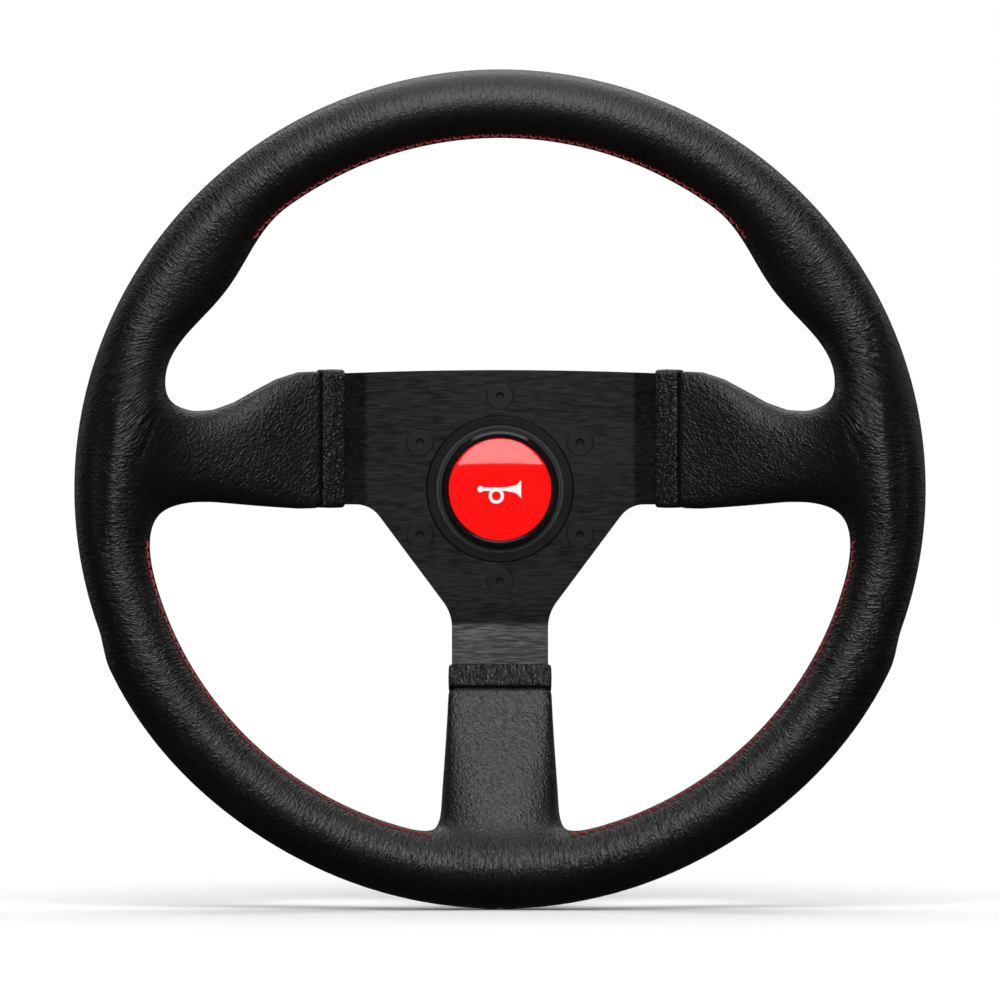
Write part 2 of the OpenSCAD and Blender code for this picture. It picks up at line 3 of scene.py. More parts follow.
import bpy
import numpy as np
import openvdb
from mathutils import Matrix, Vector


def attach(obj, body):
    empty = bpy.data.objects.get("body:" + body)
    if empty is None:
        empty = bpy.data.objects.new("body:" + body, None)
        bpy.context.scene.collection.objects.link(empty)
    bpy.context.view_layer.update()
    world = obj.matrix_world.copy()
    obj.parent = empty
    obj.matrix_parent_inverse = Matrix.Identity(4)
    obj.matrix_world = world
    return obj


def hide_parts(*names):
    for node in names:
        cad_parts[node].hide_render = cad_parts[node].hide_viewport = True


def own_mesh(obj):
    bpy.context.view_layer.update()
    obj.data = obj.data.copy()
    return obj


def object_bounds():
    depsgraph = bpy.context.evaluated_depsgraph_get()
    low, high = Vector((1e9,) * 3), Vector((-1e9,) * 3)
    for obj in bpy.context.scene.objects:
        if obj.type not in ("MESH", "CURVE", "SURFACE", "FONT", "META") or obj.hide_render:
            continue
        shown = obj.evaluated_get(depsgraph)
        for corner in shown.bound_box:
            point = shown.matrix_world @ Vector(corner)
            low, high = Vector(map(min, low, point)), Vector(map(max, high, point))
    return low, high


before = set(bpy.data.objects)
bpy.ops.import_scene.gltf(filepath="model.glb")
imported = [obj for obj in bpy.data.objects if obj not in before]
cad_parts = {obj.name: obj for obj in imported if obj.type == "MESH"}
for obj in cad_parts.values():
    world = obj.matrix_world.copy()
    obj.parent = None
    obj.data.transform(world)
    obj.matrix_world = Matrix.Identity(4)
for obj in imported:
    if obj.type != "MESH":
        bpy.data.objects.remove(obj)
cad_low, cad_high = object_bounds()

MM = 0.001

# ---------------------------------------------------------------- driving sizes, in mm
RIM_A = 147.0            # half axes of the rim's middle line
RIM_B = 144.75
RIM_Y = -92.0
GRIP_HALF = 12.9         # half width and half depth of the grip
GRIP_DEEP = 15.0
THUMB_SWELL = 6.3
THUMB_AT = 36            # where the swell is fullest, in degrees above the horizontal
THUMB_SPREAD = 17
PALM_SWELL = 2.0
PALM_AT = -25
PALM_ABOVE = 6           # how far the swell runs on above and below that place, in degrees
PALM_BELOW = 38
PLATE_MID = -55.5
SIDE_BEND = 51.0         # where the arms bend, from the axis
LOWER_BEND = 52.0
CORE_R = 146.0
SIDE_END = 68.7          # where the sleeves stop, from the axis
LOWER_END = 76.4
SLEEVE_REACH = 140.0     # the sleeves' far ends, inside the rim
END_ROUNDING = 3.0       # of the sleeves' near ends
REACH_ROUNDING = 6.0     # of their far ends
LEATHER_T = 1.2
FOAM_GAP = 0.3           # between the leather's inside and the foam
VOXEL = 1.0
INNER_SEAM = (0.7, 1.2)  # how deep and how wide each seam's groove is
MIDDLE_SEAM = (0.3, 0.8)
TONGUE_SEAM = (0.35, 1.3)
PANEL_END = 4            # degrees above the horizontal where the upper panel starts
SEAM_TILT = 22.0         # degrees from the inside of the rim towards the driver
TONGUE_X = 127.5         # a point on the edge of the spokes' tongues on the rim
TONGUE_Z = 31.0
TONGUE_SLOPE = math.radians(21)
STITCH_PITCH = 3.5
STITCH_ARCS = {
    "stitching_upper": (46, 134),
    "stitching_lower_left": (189, 258),
    "stitching_lower_right": (282, 351),
}

# sections of the sleeves: distance from the axis, low side, high side, how far the leather stands
# in front of the arm's middle line and behind it, and how square the section is
SIDE_STATIONS = np.array([
    [60, -7.2, 44.6, 4.5, 4.5, 6],
    [68.5, -7.2, 44.6, 4.5, 4.5, 6],
    [76, -7.4, 44.2, 5.2, 5.2, 5],
    [84, -6.9, 41.6, 6.3, 6.2, 4],
    [92, -6.3, 37.3, 7.4, 7.2, 3.2],
    [100, -5.6, 32.8, 8.0, 7.6, 2.8],
    [108, -4.9, 29.8, 8.6, 7.8, 2.5],
    [116, -4.6, 28.6, 9.2, 8.0, 2.3],
    [126, -4.6, 28.6, 9.6, 9.2, 2.1],
    [150, -4.6, 28.6, 9.4, 12.0, 2.0],
])
LOWER_STATIONS = np.array([
    [68, -19.4, 19.4, 4.5, 4.5, 6],
    [76, -19.4, 19.4, 4.5, 4.5, 6],
    [86, -19.9, 19.9, 5.2, 5.2, 5],
    [96, -20.5, 20.5, 6.3, 6.1, 4],
    [106, -21.2, 21.2, 7.6, 7.0, 3.2],
    [116, -21.9, 21.9, 8.8, 7.8, 2.6],
    [126, -22.4, 22.4, 9.6, 9.2, 2.2],
    [150, -22.4, 22.4, 9.4, 12.0, 2.0],
])


# ---------------------------------------------------------------- camera, lights and floor

def make_camera():
    """Looks straight at the wheel from the driver's side, from far off."""
    view_width = 0.3756        # at the rim
    distance = 4.5
    height = -0.0041
    data = bpy.data.cameras.new("camera")
    data.sensor_width = 36.0
    data.lens = data.sensor_width * distance / view_width
    data.clip_end = 50
    camera = bpy.data.objects.new("camera", data)
    camera.location = (0, RIM_Y * MM - distance, height)
    camera.rotation_euler = (math.radians(90), 0, 0)
    bpy.context.scene.collection.objects.link(camera)
    bpy.context.scene.camera = camera


def add_light(data, place, target):
    light = bpy.data.objects.new(data.name, data)
    light.location = place
    way = Vector(target) - Vector(place)
    light.rotation_euler = way.to_track_quat("-Z", "Y").to_euler()
    bpy.context.scene.collection.objects.link(light)
    return light


def soft_box(name, place, width, height, radiance, target=(0, -0.07, 0)):
    """A panel that only reflections show: it gives the highlights, and no even light."""
    data = bpy.data.lights.new(name, "AREA")
    data.shape = "RECTANGLE"
    data.size = width
    data.size_y = height
    data.energy = radiance * math.pi * width * height
    add_light(data, place, target).visible_diffuse = False


def floor_light(name, place, strength, spread):
    """A wide sun that gives the even light and the shadows, and leaves no highlights."""
    data = bpy.data.lights.new(name, "SUN")
    data.energy = strength
    data.angle = math.radians(spread)
    add_light(data, place, (0, 0, 0)).visible_glossy = False


def make_lights():
    soft_box("key", (0, -1.27, 0.89), 1.25, 1.3, 4.8)
    soft_box("ceiling_box", (0, -0.1, 1.5), 1.6, 1.2, 1.6)
    soft_box("back_left", (-1.2, 1.0, 0.5), 0.8, 1.2, 0.5)
    soft_box("back_right", (1.2, 1.0, 0.5), 0.8, 1.2, 0.5)
    soft_box("back_top", (0, 1.1, 1.35), 1.8, 0.9, 2.5)
    floor_light("front_sky", (0, -1.0, 1.2), 2.1, 40)
    floor_light("back_sky", (0, 1.0, 2.4), 1.75, 60)
    floor_light("front_fill", (0, -3.0, 0.15), 1.7, 20)


def make_world():
    """White where the camera sees past the wheel, and a dim room for everything else."""
    dim = 0.025
    world = bpy.data.worlds.new("studio")
    bpy.context.scene.world = world
    world.use_nodes = True
    nodes, links = world.node_tree.nodes, world.node_tree.links
    room = nodes["Background"]
    room.inputs["Color"].default_value = (1, 1, 1, 1)
    room.inputs["Strength"].default_value = dim
    backdrop = nodes.new("ShaderNodeBackground")
    backdrop.inputs["Color"].default_value = (1, 1, 1, 1)
    path = nodes.new("ShaderNodeLightPath")
    mix = nodes.new("ShaderNodeMixShader")
    links.new(path.outputs["Is Camera Ray"], mix.inputs["Fac"])
    links.new(room.outputs["Background"], mix.inputs[1])
    links.new(backdrop.outputs["Background"], mix.inputs[2])
    links.new(mix.outputs["Shader"], nodes["World Output"].inputs["Surface"])


def make_floor():
    half = 8.0
    gap = 0.0002
    z = cad_low.z - gap
    mesh = bpy.data.meshes.new("floor")
    corners = [(-half, -half, z), (half, -half, z), (half, half, z), (-half, half, z)]
    mesh.from_pydata(corners, [], [(0, 1, 2, 3)])
    floor = bpy.data.objects.new("floor", mesh)
    bpy.context.scene.collection.objects.link(floor)
    floor.visible_glossy = False
    paint = Look("floor_paint", (0.95, 0.95, 0.95), 1.0, Specular_IOR_Level=0.0)
    speck = paint.noise(paint.place(), 6)
    paint.link(paint.tint(speck, (0.94, 0.94, 0.94), (0.96, 0.96, 0.96)), "Base Color")
    mesh.materials.append(paint.material)


# ---------------------------------------------------------------- materials

class Look:
    """A node material with a Principled shader, and short names for adding nodes to it."""

    def __init__(self, name, colour, roughness, metallic=0.0, **settings):
        self.material = bpy.data.materials.new(name)
        self.material.use_nodes = True
        self.tree = self.material.node_tree
        self.shader = self.tree.nodes["Principled BSDF"]
        self.shader.inputs["Base Color"].default_value = (*colour, 1)
        self.shader.inputs["Roughness"].default_value = roughness
        self.shader.inputs["Metallic"].default_value = metallic
        for socket, value in settings.items():
            self.shader.inputs[socket.replace("_", " ")].default_value = value

    def add(self, kind, inputs=None, **settings):
        node = self.tree.nodes.new("ShaderNode" + kind)
        for key, value in settings.items():
            setattr(node, key, value)
        for key, value in (inputs or {}).items():
            if isinstance(value, bpy.types.NodeSocket):
                self.tree.links.new(value, node.inputs[key])
            else:
                node.inputs[key].default_value = value
        return node

    def link(self, output, socket):
        self.tree.links.new(output, self.shader.inputs[socket])

    def place(self, stretch=(1, 1, 1), turn=(0, 0, 0)):
        """The surface's place in metres, turned and then stretched, for a texture to read."""
        coordinates = self.add("TexCoord")
        turned = self.add("VectorRotate", {"Vector": coordinates.outputs["Object"], "Rotation": turn},
                          rotation_type="EULER_XYZ")
        inputs = {"Vector": turned.outputs["Vector"], "Scale": stretch}
        return self.add("Mapping", inputs).outputs["Vector"]

    def attribute(self, name, output):
        return self.add("Attribute", attribute_name=name).outputs[output]

    def noise(self, vector, scale, detail=2.0, roughness=0.5, distortion=0.0):
        inputs = {"Vector": vector, "Scale": scale, "Detail": detail, "Roughness": roughness,
                  "Distortion": distortion}
        return self.add("TexNoise", inputs).outputs["Fac"]

    def pebbles(self, scale):
        """A pebbled grain: 1 on top of each pebble and 0 in the creases between them."""
        where = self.place()
        shift = self.add("TexNoise", {"Vector": where, "Scale": scale / 3}).outputs["Color"]
        reach = 0.7 / scale
        moved = self.add("VectorMath", {0: shift, 1: (reach, reach, reach), 2: where},
                         operation="MULTIPLY_ADD").outputs["Vector"]
        cell = self.add("TexVoronoi", {"Vector": moved, "Scale": scale, "Smoothness": 0.6},
                        feature="SMOOTH_F1").outputs["Distance"]
        return self.spread(cell, 1, 0, 0.1, 0.6)

    def spread(self, value, low, high, start=0.0, end=1.0):
        """value, from start to end, carried to low to high."""
        inputs = {"Value": value, "From Min": start, "From Max": end, "To Min": low, "To Max": high}
        return self.add("MapRange", inputs).outputs["Result"]

    def sum(self, a, b, operation="ADD"):
        return self.add("Math", {0: a, 1: b}, operation=operation).outputs["Value"]

    def folds(self, vector, distortion=0.8):
        """Rounded folds with narrow creases between them, 0 to 1."""
        value = self.noise(vector, 1.0, 1.5, 0.45, distortion)
        away = self.sum(self.sum(value, 0.5, "SUBTRACT"), 0.0, "ABSOLUTE")
        return self.spread(away, 0, 1, 0.0, 0.2)

    def tint(self, value, dark, light):
        ramp = self.add("ValToRGB", {"Fac": value})
        ramp.color_ramp.elements[0].color = (*dark, 1)
        ramp.color_ramp.elements[1].color = (*light, 1)
        return ramp.outputs["Color"]

    def bump(self, height, distance, strength=1.0, edge=0.0):
        """Raises the surface by height, over edges rounded to a radius of edge."""
        inputs = {"Height": height, "Distance": distance, "Strength": strength}
        if edge:
            inputs["Normal"] = self.add("Bevel", {"Radius": edge}, samples=4).outputs["Normal"]
        self.link(self.add("Bump", inputs).outputs["Normal"], "Normal")


def grip_leather():
    look = Look("grip_leather", (0.0015, 0.0015, 0.0016), 0.5)
    share = look.attribute("spoke_share", "Fac")
    rim = look.folds(look.attribute("rim_streak", "Vector"))
    rim = look.sum(rim, look.attribute("wrinkle", "Fac"), "MULTIPLY")
    spoke = look.sum(look.folds(look.attribute("spoke_streak", "Vector"), 0.5), 0.34, "MULTIPLY")
    folds = look.add("Mix", {"Factor": share, "A": rim, "B": spoke}).outputs["Result"]
    pebbles = look.sum(look.pebbles(1000), look.spread(share, 0.2, 0.36), "MULTIPLY")
    height = look.sum(folds, pebbles)
    look.bump(height, 0.00034)
    wear = look.noise(look.place(), 40, 3)
    look.link(look.tint(wear, (0.0010, 0.0010, 0.0011), (0.0022, 0.0022, 0.0023)), "Base Color")
    look.link(look.spread(height, 0.46, 0.36), "Roughness")
    return look.material


def band_leather(side):
    """Leather creased on a slant, leaning outwards at the top; side is 1, -1 or 0 for the lower band."""
    look = Look(f"band_leather_{side + 1}", (0.006, 0.006, 0.006), 0.5)
    lean = math.radians(-30 * side)
    creases = look.folds(look.place((900, 300, 230), (0, lean, 0)), 0.4)
    height = look.sum(creases, look.sum(look.pebbles(1100), 0.5, "MULTIPLY"))
    look.bump(height, 0.0004)
    wear = look.noise(look.place(), 60, 3)
    look.link(look.tint(wear, (0.002, 0.002, 0.002), (0.004, 0.004, 0.004)), "Base Color")
    look.link(look.spread(height, 0.52, 0.40), "Roughness")
    return look.material


def brushed_black():
    look = Look("brushed_black_plate", (0.03, 0.03, 0.03), 0.45, 0.75)
    lines = look.noise(look.place((0.06, 1, 1)), 2400, 3, 0.6)
    streaks = look.noise(look.place((0.16, 1, 1)), 900, 3, 0.6)
    cloud = look.noise(look.place((0.3, 1, 1)), 60, 3)
    mixed = look.sum(look.sum(lines, 0.45, "MULTIPLY"), look.sum(streaks, 0.35, "MULTIPLY"))
    mixed = look.spread(look.sum(mixed, look.sum(cloud, 0.2, "MULTIPLY")), 0, 1, 0.42, 0.58)
    look.link(look.tint(mixed, (0.002, 0.002, 0.0021), (0.027, 0.027, 0.0275)), "Base Color")
    look.link(look.spread(mixed, 0.42, 0.33), "Roughness")
    look.bump(lines, 0.00003, 0.7, edge=0.0003)
    return look.material


def coated_metal(name, dark, light, roughness, edge=0.0003):
    """Anodised or blackened metal: cloudy colour over a fine blasted grit."""
    look = Look(name, light, roughness, 0.9)
    where = look.place()
    patch = look.noise(where, 90, 4)
    grit = look.noise(where, 2400, 2)
    look.link(look.tint(patch, dark, light), "Base Color")
    look.link(look.spread(grit, roughness - 0.07, roughness + 0.09), "Roughness")
    look.bump(grit, 0.00003, 0.5, edge)
    return look.material


def turned_metal(name, dark, light, roughness, edge=0.0002):
    """Bare metal with fine tool marks along the column and a few smudges."""
    look = Look(name, light, roughness, 1.0)
    marks = look.noise(look.place((0.05, 1, 0.05)), 2600, 2)
    smudge = look.noise(look.place(), 120, 3)
    look.link(look.tint(smudge, dark, light), "Base Color")
    look.link(look.spread(smudge, roughness - 0.06, roughness + 0.1), "Roughness")
    look.bump(marks, 0.00002, 0.5, edge)
    return look.material


def plastic(name, dark, light, roughness, grain=0.5, edge=0.0002, **settings):
    look = Look(name, light, roughness, **settings)
    grit = look.noise(look.place(), 1500, 3)
    patch = look.noise(look.place(), 70, 2)
    look.link(look.tint(patch, dark, light), "Base Color")
    look.link(look.spread(patch, max(roughness - 0.04, 0.02), roughness + 0.05), "Roughness")
    look.bump(grit, 0.00003, grain, edge)
    return look.material


def clear_resin():
    """A clear dome: only its gloss shows, and the colour beneath comes through unbent."""
    look = Look("clear_dome", (1, 1, 1), 0.04, 1.0)
    facing = look.add("LayerWeight", {"Blend": 0.5}).outputs["Facing"]
    shine = look.spread(look.sum(facing, 4.0, "POWER"), 0.05, 1.0)
    outside = look.spread(look.add("NewGeometry").outputs["Backfacing"], 1.0, 0.0)
    look.link(look.sum(shine, outside, "MULTIPLY"), "Alpha")
    dust = look.noise(look.place(), 300, 2)
    look.link(look.spread(dust, 0.03, 0.07), "Roughness")
    return look.material


def thread_look():
    look = Look("red_thread", (0.42, 0.01, 0.016), 0.6)
    ply = look.noise(look.place(), 3000, 2)
    look.link(look.tint(ply, (0.12, 0.006, 0.010), (0.28, 0.016, 0.024)), "Base Color")
    look.link(look.spread(ply, 0.5, 0.7), "Roughness")
    look.bump(ply, 0.0001, 0.8)
    return look.material


def make_materials():
    black = (0.008, 0.008, 0.008)
    return {
        "plate": brushed_black(),
        "ring": coated_metal("satin_black_ring", black, (0.02, 0.02, 0.02), 0.42),
        "screw": coated_metal("black_oxide_screw", (0.016, 0.016, 0.016), (0.034, 0.034, 0.034), 0.36),
        "button": plastic("gloss_black_button", (0.003, 0.003, 0.003), (0.006, 0.006, 0.006), 0.12, 0.05),
        "housing": plastic("matt_black_housing", (0.006, 0.006, 0.006), (0.012, 0.012, 0.012), 0.5),
        "disc": plastic("red_enamel", (0.86, 0.003, 0.002), (0.94, 0.005, 0.004), 0.35, 0.02,
                        Specular_IOR_Level=0.03),
        "symbol": plastic("white_print", (0.74, 0.70, 0.68), (0.86, 0.82, 0.80), 0.4, 0.05),
        "resin": clear_resin(),
        "hub": coated_metal("black_anodised_hub", (0.014, 0.014, 0.015), (0.034, 0.034, 0.036), 0.38),
        "sleeve": coated_metal("red_anodised_sleeve", (0.34, 0.008, 0.010), (0.52, 0.014, 0.018), 0.3),
        "steel": turned_metal("turned_steel", (0.42, 0.42, 0.43), (0.62, 0.62, 0.63), 0.3),
        "wire": turned_metal("spring_wire", (0.35, 0.35, 0.36), (0.58, 0.58, 0.6), 0.32, 0),
        "ball": turned_metal("bearing_steel", (0.62, 0.62, 0.63), (0.75, 0.75, 0.76), 0.12, 0),
        "tube": turned_metal("drawn_tube", (0.30, 0.30, 0.31), (0.46, 0.46, 0.47), 0.4),
        "brass": turned_metal("brass", (0.55, 0.37, 0.13), (0.78, 0.56, 0.24), 0.3),
        "tin": turned_metal("tin_plate", (0.52, 0.52, 0.52), (0.68, 0.68, 0.67), 0.34),
        "foam": plastic("grip_foam", (0.02, 0.02, 0.02), (0.045, 0.045, 0.045), 0.85, 1.0, 0),
        "phenolic": plastic("phenolic_board", (0.24, 0.15, 0.08), (0.38, 0.26, 0.15), 0.55, 0.6),
        "red_cover": plastic("red_insulation", (0.34, 0.012, 0.012), (0.46, 0.02, 0.02), 0.45, 0.4),
        "black_cover": plastic("black_insulation", (0.012, 0.012, 0.012), (0.025, 0.025, 0.025), 0.45, 0.4),
        "leather": grip_leather(),
        "thread": thread_look(),
        "band_left": band_leather(-1),
        "band_right": band_leather(1),
        "band_lower": band_leather(0),
    }


NODE_LOOKS = {
    "spoke_plate": "plate", "rim_core": "tube", "rim_foam": "foam", "wheel_screws": "screw",
    "horn_ring": "ring", "horn_housing": "housing", "horn_cap": "button", "horn_disc": "disc",
    "horn_symbol": "symbol", "horn_moving_contact": "brass",
    "horn_fixed_contact": "brass", "horn_terminals": "tin", "lead_connectors": "red_cover",
    "live_lead": "red_cover", "earth_lead": "black_cover", "earth_tag": "tin",
    "bush_washers": "wire", "hub_body": "hub", "spline_bush": "steel", "bush_screws": "screw",
    "contact_carrier": "phenolic", "contact_tag": "brass", "contact_retainer": "brass",
    "contact_pin": "brass", "release_sleeve": "sleeve", "sleeve_circlip": "screw",
    **{f"lock_ball_{i}": "ball" for i in range(1, 7)},
}


def dress_nodes():
    for node, look in NODE_LOOKS.items():
        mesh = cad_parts[node].data
        mesh.materials.clear()
        mesh.materials.append(MATERIALS[look])


# ---------------------------------------------------------------- the shape of the leather, in mm

def smooth_least(a, b, k):
    """The lesser of a and b, rounded where they differ by less than k."""
    h = np.maximum(k - np.abs(a - b), 0) / k
    return np.minimum(a, b) - h ** 3 * k / 6


def smooth_most(a, b, k):
    return -smooth_least(-a, -b, k)


def smooth_step(value, start, end):
    t = np.clip((value - start) / (end - start), 0, 1)
    return t * t * (3 - 2 * t)


def hump(distance, spread):
    """1 at distance 0, falling smoothly to 0 at spread."""
    return np.where(np.abs(distance) < spread, np.cos(0.5 * np.pi * distance / spread) ** 2, 0)


def groove(distance, seam):
    """How deep a seam's groove is at a distance from its middle."""
    depth, width = seam
    return depth * np.exp(-(distance / width) ** 2)


def side_degrees(x, z):
    """Degrees above the horizontal, on whichever side of the wheel the point is."""
    return np.degrees(np.arctan2(z, np.abs(x)))


def rim_radius(x, z):
    """Distance from the axis to the rim's middle line, on the way to (x, z)."""
    angle = np.arctan2(z, x)
    return 1 / np.sqrt((np.cos(angle) / RIM_A) ** 2 + (np.sin(angle) / RIM_B) ** 2)


def rim_distance(x, y, z):
    """Roughly the distance to the grip's skin, an ellipse that swells for the thumbs and palms."""
    across = np.hypot(x, z) - rim_radius(x, z)
    degrees = side_degrees(x, z)
    inner = GRIP_HALF + THUMB_SWELL * hump(degrees - THUMB_AT, THUMB_SPREAD)
    palm = degrees - PALM_AT
    palm_share = np.where(palm > 0, hump(palm, PALM_ABOVE), hump(palm, PALM_BELOW))
    outer = GRIP_HALF + PALM_SWELL * palm_share
    width = np.where(across > 0, outer, inner)
    deep = y - RIM_Y
    k = np.hypot(across / width, deep / GRIP_DEEP)
    slope = np.hypot(across / width ** 2, deep / GRIP_DEEP ** 2)
    return k * (k - 1) / np.maximum(slope, 1e-6)


def arm_place(out, y, bend):
    """How far out along the arm's middle line a point lies, and how far behind that line."""
    angle = math.atan((PLATE_MID - RIM_Y) / (CORE_R - bend))
    run = (out - bend) * math.cos(angle) - (y - PLATE_MID) * math.sin(angle)
    off = (out - bend) * math.sin(angle) + (y - PLATE_MID) * math.cos(angle)
    return bend + run * math.cos(angle), off


def sleeve_distance(out, y, side, stations, bend, end):
    """Roughly the distance to a sleeve's skin; out runs along the arm and side across it."""
    reach, off = arm_place(out, y, bend)
    low, high, front, back, square = (
        np.interp(reach, stations[:, 0], stations[:, k]) for k in range(1, 6)
    )
    half = (high - low) / 2
    deep = np.where(off > 0, back, front)
    v = np.maximum(np.abs(side - (high + low) / 2) / half, 1e-4)
    w = np.maximum(np.abs(off) / deep, 1e-4)
    f = (v ** square + w ** square) ** (1 / square)
    slope = np.hypot((v / f) ** (square - 1) / half, (w / f) ** (square - 1) / deep)
    skin = smooth_most((f - 1) / slope, end - reach, END_ROUNDING)
    return smooth_most(skin, reach - SLEEVE_REACH, REACH_ROUNDING)


def parts_of_leather(x, y, z):
    """Distances to the rim, the nearer side sleeve and the lower sleeve, each on its own."""
    rim = rim_distance(x, y, z)
    side = sleeve_distance(np.abs(x), y, z, SIDE_STATIONS, SIDE_BEND, SIDE_END)
    lower = sleeve_distance(-z, y, x, LOWER_STATIONS, LOWER_BEND, LOWER_END)
    return rim, side, lower


def leather_distance(x, y, z):
    """Roughly the distance to the leather's skin, less than 0 inside it."""
    rim, side, lower = parts_of_leather(x, y, z)
    across = np.hypot(x, z) - rim_radius(x, z)
    inner = smooth_step(-across, -9, 2)     # the blends are wider on the inside of the rim
    side_blend = 8 + 26 * inner
    lower_blend = 5 + 10 * inner
    skin = smooth_least(smooth_least(rim, side, side_blend), lower, lower_blend)
    return skin + seam_depth(x, y, z)


def tongue_distance(x, z):
    """Distance outwards from the edge of a spoke's tongue, seen from the driver's seat."""
    return (np.abs(x) - TONGUE_X) * math.cos(TONGUE_SLOPE) + (z - TONGUE_Z) * math.sin(TONGUE_SLOPE)


def seam_depth(x, y, z):
    """How far the seams pull the leather in."""
    radius = np.hypot(x, z)
    degrees = side_degrees(x, z)
    around = np.degrees(np.arctan2(RIM_Y - y, rim_radius(x, z) - radius))
    above_spokes = smooth_step(degrees, 42, 47)
    below_spokes = smooth_step(-degrees, 6, 12) * smooth_step(np.abs(x), 22, 30)
    free = above_spokes + below_spokes
    inner_seam = np.radians(np.abs(around - SEAM_TILT)) * GRIP_HALF
    depth = groove(inner_seam, INNER_SEAM) * free
    bottom = smooth_step(-z, 140, 146)
    depth += groove(x, MIDDLE_SEAM) * bottom
    on_tongue = smooth_step(z, 5, 16) * smooth_step(-z, -36, -27) * smooth_step(radius, 115, 122)
    depth += groove(tongue_distance(x, z), TONGUE_SEAM) * on_tongue
    return depth


# ---------------------------------------------------------------- the mesh of the leather

def onto_skin(points):
    """Moves each point onto the skin, along the steepest way; gives the points and that way."""
    step = 0.05
    furthest = 1            # how far a point may move in one go
    flattest = 0.2          # keeps the steps short where the field is nearly flat
    x, y, z = points.T
    here = leather_distance(x, y, z)
    slope = np.stack([
        leather_distance(x + step, y, z) - leather_distance(x - step, y, z),
        leather_distance(x, y + step, z) - leather_distance(x, y - step, z),
        leather_distance(x, y, z + step) - leather_distance(x, y, z - step),
    ], 1) / (2 * step)
    size = np.maximum((slope ** 2).sum(1), flattest)
    moved = points - np.clip(here / size, -furthest, furthest)[:, None] * slope
    return moved, slope / np.sqrt(size)[:, None]


def leather_surface():
    """Points, outward normals and quads of the skin, and the points and quads of the foam in it."""
    low = np.array([-166.0, -112.0, -163.0])
    high = np.array([166.0, -47.0, 163.0])
    band = 4.0              # the field isn't needed further from the skin than this
    axes = [np.arange(low[i], high[i], VOXEL) for i in range(3)]
    x, y, z = np.meshgrid(*axes, indexing="ij", sparse=True)
    field = np.clip(leather_distance(x, y, z), -band, band).astype(np.float32)
    grid = openvdb.FloatGrid(band)
    grid.copyFromArray(field)
    foam_points, foam_quads = grid.convertToQuads(isovalue=-LEATHER_T - FOAM_GAP)
    points, quads = grid.convertToQuads()
    points = points * VOXEL + low
    for _ in range(4):
        points, normals = onto_skin(points)
    return points, normals, quads.astype(int), (foam_points * VOXEL + low, foam_quads.astype(int))


def panel_of(centre):
    """Which panel of leather each face belongs to."""
    x, y, z = centre.T
    rim, side, lower = parts_of_leather(x, y, z)
    panel = np.where(x < 0, "rim_leather_lower_left", "rim_leather_lower_right").astype(object)
    panel[side_degrees(x, z) > PANEL_END] = "rim_leather_upper"
    tongue = (tongue_distance(x, z) < 0) & (z > 8) & (z < 48) & (np.abs(x) > 100)
    spoke = np.where((z > 8) & (np.abs(x) > 118), tongue, side < rim)
    spoke &= (z > -30) & (z < 60) & (np.abs(x) < 140)
    panel[spoke & (x < 0)] = "spoke_leather_left"
    panel[spoke & (x > 0)] = "spoke_leather_right"
    panel[(lower < rim) & (z < -60)] = "spoke_leather_lower"
    return panel


def grain_of(points):
    """For each point: its place across and along the wrinkles of the rim and of the spokes, in
    wrinkle widths and lengths, how far it is on a spoke, and how deep the rim's wrinkles are."""
    x, y, z = points.T
    rim, side, lower = parts_of_leather(x, y, z)
    degrees = side_degrees(x, z)
    across = np.hypot(x, z) - rim_radius(x, z)
    run = np.arctan2(x, np.abs(z)) * RIM_A
    pull = hump(degrees - 15, 13)
    skew = 1.2 * pull - 0.25 * hump(degrees + 25, 20)
    width = 1.25
    length = 4.5 + 4.0 * pull
    rim_streak = np.stack([
        (run - np.sign(x * z) * skew * across) / width, across / length, (y - RIM_Y) / length
    ], 1)
    spoke_width, spoke_length, lean = 1.3, 3.2, math.radians(45)
    on_side = 40            # points further out than this are on the side spokes
    out = np.where(np.abs(x) > on_side, np.abs(x), x)
    mirror_shift = 60 * (x > on_side)       # gives the right side folds of its own
    spoke_streak = np.stack([
        (out * math.sin(lean) + z * math.cos(lean)) / spoke_width + mirror_shift,
        (out * math.cos(lean) - z * math.sin(lean)) / spoke_length, y / spoke_length
    ], 1)
    share = smooth_step(rim - np.minimum(side, lower), -5, 4)
    tongue = smooth_step(-tongue_distance(x, z), -0.6, 0.6)
    over = smooth_step(z, 6, 12) * smooth_step(np.abs(x), 112, 118) * (z < 60)
    share = share * (1 - over) + tongue * over
    wrinkle = 0.55 + 0.75 * pull + 0.2 * hump(degrees + 24, 30)
    wrinkle *= 1 - 0.55 * smooth_step(degrees, 60, 80)
    return {"rim_streak": rim_streak, "spoke_streak": spoke_streak, "spoke_share": share,
            "wrinkle": wrinkle}


def shell(points, normals, faces, thickness):
    """A skin and its inside, joined round the edges: all points, their normals, all faces."""
    n = len(points)
    inner = points - normals * thickness
    edges = np.concatenate([faces[:, [k, (k + 1) % 4]] for k in range(4)])
    _, first, count = np.unique(np.sort(edges, 1), axis=0, return_index=True, return_counts=True)
    rim = edges[first[count == 1]]
    sides = np.stack([rim[:, 1], rim[:, 0], rim[:, 0] + n, rim[:, 1] + n], 1)
    everything = np.concatenate([faces, faces[:, ::-1] + n, sides])
    return np.concatenate([points, inner]), np.concatenate([normals, -normals]), everything


